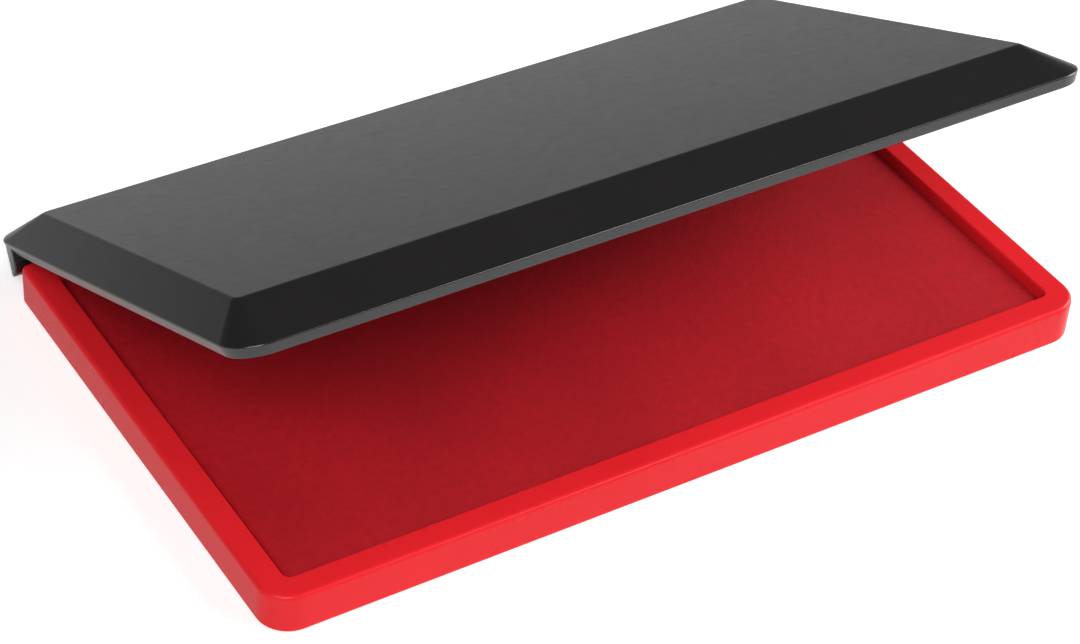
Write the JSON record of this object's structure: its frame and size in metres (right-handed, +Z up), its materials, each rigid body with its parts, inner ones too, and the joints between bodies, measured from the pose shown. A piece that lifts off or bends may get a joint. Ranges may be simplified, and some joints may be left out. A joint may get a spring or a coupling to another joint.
{
  "type": "hinged ink pad",
  "caption": "Rectangular ink pad: a shallow glossy red tray with a recessed cloth pad, and a dark bevelled lid that swings on ears at the back corners.",
  "frame": {"origin": "middle of the tray's underside, where the ink pad stands", "axes": "+X along the hinge, +Y towards the hinge at the back, +Z up out of the tray"},
  "size_m": [0.1716, 0.1104, 0.0541],
  "materials": {
    "red_plastic": "glossy moulded plastic",
    "charcoal_plastic": "finely textured matt moulded plastic",
    "ink_cloth": "woven cloth soaked with red ink",
    "ink_felt": "pressed felt soaked with red ink",
    "grey_board": "plain pressed board"
  },
  "bodies": {
    "base": {"tray": "red_plastic", "pad_cloth": "ink_cloth", "felt_core": "ink_felt", "backing_board": "grey_board"},
    "cover": {"lid": "charcoal_plastic"}
  },
  "joints": [
    {"name": "lid_hinge", "type": "hinge", "parent": "base", "child": "cover", "pos_m": [0, 0.0493, 0.0056], "axis": [-1, 0, 0], "range_deg": [-25, 65]}
  ]
}
